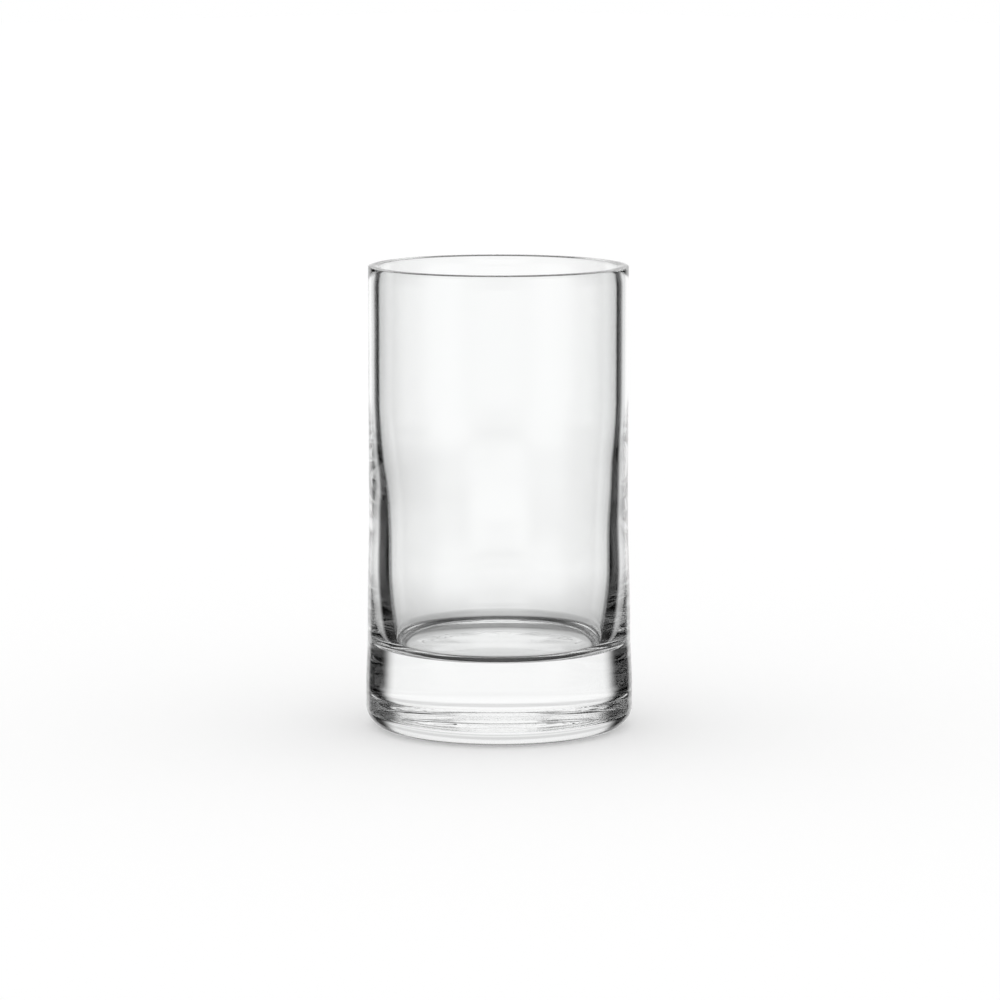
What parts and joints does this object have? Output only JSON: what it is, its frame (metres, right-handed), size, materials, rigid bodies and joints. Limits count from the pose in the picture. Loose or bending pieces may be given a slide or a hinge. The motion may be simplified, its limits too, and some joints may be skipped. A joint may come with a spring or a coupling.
{
  "type": "juice glass",
  "caption": "Straight-sided clear glass tumbler with a thick solid base, a slightly flared rounded foot and a rounded rim.",
  "frame": {"origin": "centre of the foot, on the surface that the glass stands on", "axes": "+Z is the axis of the glass, from the foot to the rim; X and Y are level and interchangeable"},
  "size_m": [0.0602, 0.06, 0.104],
  "materials": {
    "clear_glass": "fire-polished clear soda-lime glass, colourless, gloss"
  },
  "bodies": {
    "root": {"tumbler": "clear_glass"}
  },
  "joints": []
}
